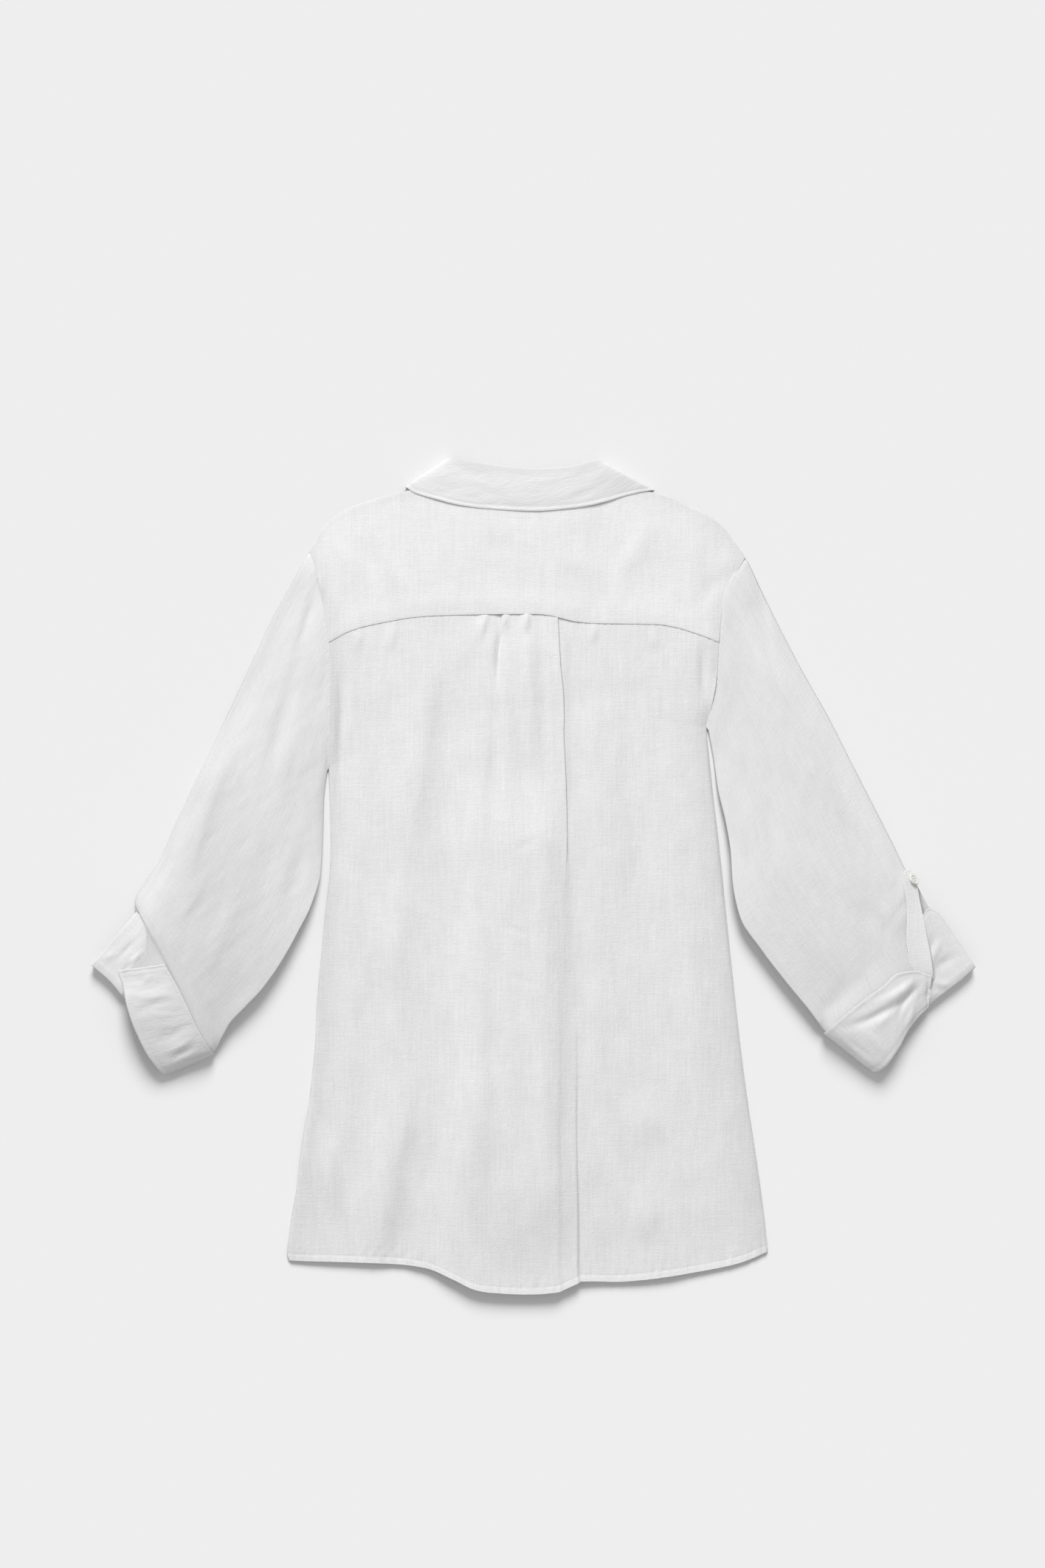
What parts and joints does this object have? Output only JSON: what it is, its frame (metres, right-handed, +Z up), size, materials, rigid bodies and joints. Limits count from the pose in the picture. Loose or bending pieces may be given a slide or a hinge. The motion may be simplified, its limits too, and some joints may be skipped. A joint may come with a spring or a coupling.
{
  "type": "linen blouse",
  "caption": "Loose collared linen blouse laid flat with its back up, back yoke with a box pleat, and sleeves rolled and held by button tabs.",
  "frame": {"origin": "middle of the blouse's outline, on the surface that it lies on", "axes": "+Z up from the surface out of the blouse's back, +Y towards the collar, +X to the viewer's right, which is the wearer's right"},
  "size_m": [0.8372, 0.7935, 0.0235],
  "materials": {
    "linen": "matte plain weave",
    "buttons": "satin"
  },
  "bodies": {
    "root": {"back": "linen", "yoke": "linen", "front_left": "linen", "front_right": "linen", "collar_fall": "linen", "collar_stand": "linen", "sleeve_left": "linen", "sleeve_right": "linen", "cuff_left": "linen", "cuff_right": "linen", "tab_left": "linen", "tab_right": "linen", "button_tab_left": "buttons", "button_tab_right": "buttons", "button_front_1": "buttons", "button_front_2": "buttons", "button_front_3": "buttons", "button_front_4": "buttons", "button_front_5": "buttons", "button_front_6": "buttons", "button_front_7": "buttons"}
  },
  "joints": []
}
